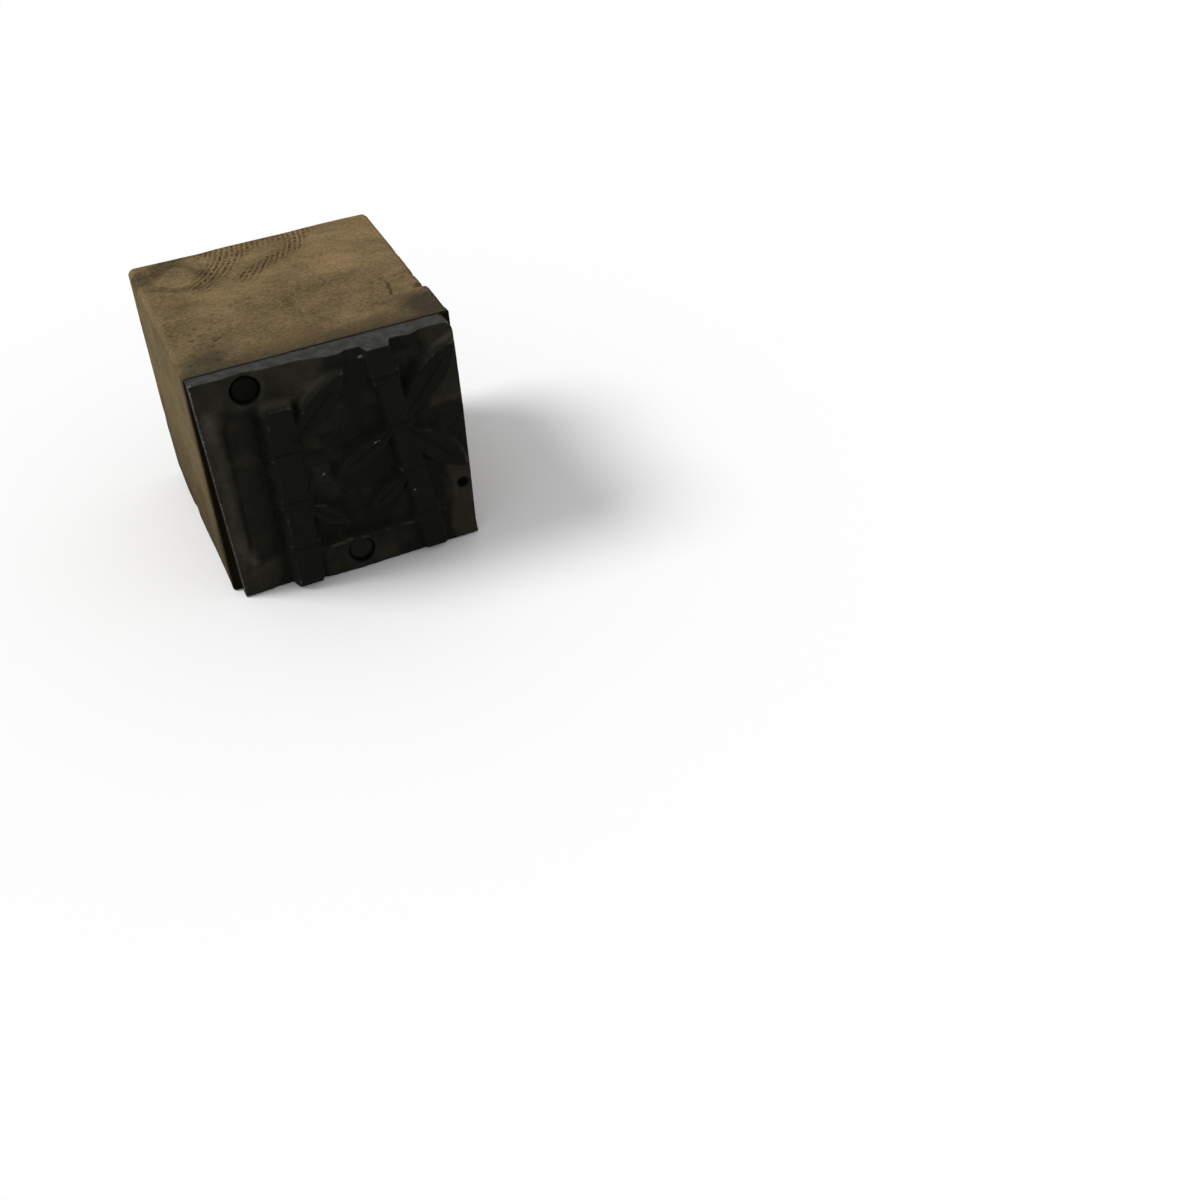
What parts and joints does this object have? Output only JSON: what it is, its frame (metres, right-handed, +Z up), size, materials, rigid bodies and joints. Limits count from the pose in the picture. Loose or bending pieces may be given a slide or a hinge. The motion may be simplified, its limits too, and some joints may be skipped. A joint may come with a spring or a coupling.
{
  "type": "letterpress printing block",
  "caption": "Near-cubic type-high hardwood mount with a nailed cast metal relief plate on its front; the plate prints, the wooden foot opposite sits on the bed.",
  "frame": {"origin": "centre of the side that the block stands on, at the middle of the bounding box's bottom", "axes": "-Y is the printing face's outward normal and +Y points out of the foot, so type height lies along Y; +Z is up as the block stands in the picture; +X is to the right when looking at the printing face"},
  "size_m": [0.0222, 0.0234, 0.0215],
  "materials": {
    "wood": "worn, ink-stained hardwood",
    "type_metal": "cast type metal blackened by ink, dull",
    "nail_steel": "dark steel covered with old ink"
  },
  "bodies": {
    "root": {"wood_mount": "wood", "relief_plate": "type_metal", "top_nail": "nail_steel", "bottom_nail": "nail_steel", "edge_pin": "nail_steel"}
  },
  "joints": []
}
